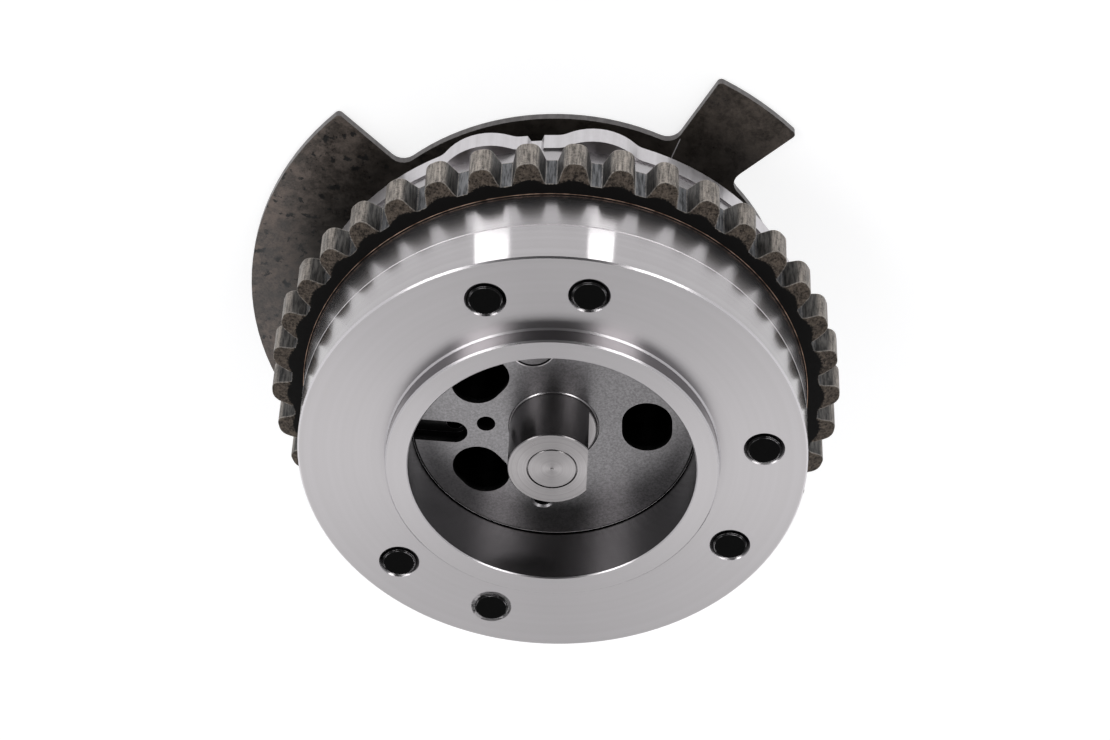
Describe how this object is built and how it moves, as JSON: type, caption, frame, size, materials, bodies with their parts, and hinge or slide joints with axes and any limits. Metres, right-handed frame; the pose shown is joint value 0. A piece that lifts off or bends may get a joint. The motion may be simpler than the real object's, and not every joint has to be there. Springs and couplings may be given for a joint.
{
  "type": "cam phaser",
  "caption": "Vane-type cam phaser: chain sprocket housing with a turned front cover, a vaned rotor on a centre shaft and a stamped trigger wheel behind.",
  "frame": {"origin": "on the shaft axis at the rear seat of the rotor hub, where the camshaft bolts on", "axes": "+Z along the shaft axis to the open front, +X towards the flat on the centre shaft"},
  "size_m": [0.108, 0.108, 0.0508],
  "materials": {
    "turned_steel": "fine turned satin",
    "stator_steel": "turned, slightly duller",
    "tooth_ring": "rough dark brown hardened teeth",
    "pressed_steel": "light satin",
    "black_oxide": "black oxide",
    "hard_steel": "ground",
    "sintered_steel": "grainy sintered grey",
    "ground_steel": "polished sides, matt end",
    "stamped_sheet": "mottled dark brown sheet",
    "seal_plastic": "matt",
    "spring_steel": "drawn wire"
  },
  "bodies": {
    "housing": {"front_cover": "turned_steel", "stator": "stator_steel", "sprocket": "tooth_ring", "rear_cover": "pressed_steel", "cover_screws": "black_oxide", "lock_seat": "hard_steel", "web_seal_1": "seal_plastic", "web_seal_2": "seal_plastic", "web_seal_3": "seal_plastic", "web_seal_spring_1": "spring_steel", "web_seal_spring_2": "spring_steel", "web_seal_spring_3": "spring_steel"},
    "rotor": {"rotor": "sintered_steel", "centre_shaft": "ground_steel", "shaft_plug": "ground_steel", "face_disc": "sintered_steel", "trigger_wheel": "stamped_sheet", "lock_pin_cap": "hard_steel", "vane_seal_1": "seal_plastic", "vane_seal_2": "seal_plastic", "vane_seal_3": "seal_plastic", "vane_seal_spring_1": "spring_steel", "vane_seal_spring_2": "spring_steel", "vane_seal_spring_3": "spring_steel"},
    "lock_pin": {"lock_pin": "hard_steel", "lock_pin_spring": "spring_steel"}
  },
  "joints": [
    {"name": "rotor_turn", "type": "hinge", "parent": "housing", "child": "rotor", "pos_m": [0, 0, 0], "axis": [0, 0, 1], "range_deg": [-18, 18]},
    {"name": "lock_pin_slide", "type": "slide", "parent": "rotor", "child": "lock_pin", "axis": [0, 0, 1], "range_m": [0, 0.0015], "stiffness_N_per_m": 800, "springref_m": -0.004, "deforming": ["lock_pin_spring"]}
  ]
}
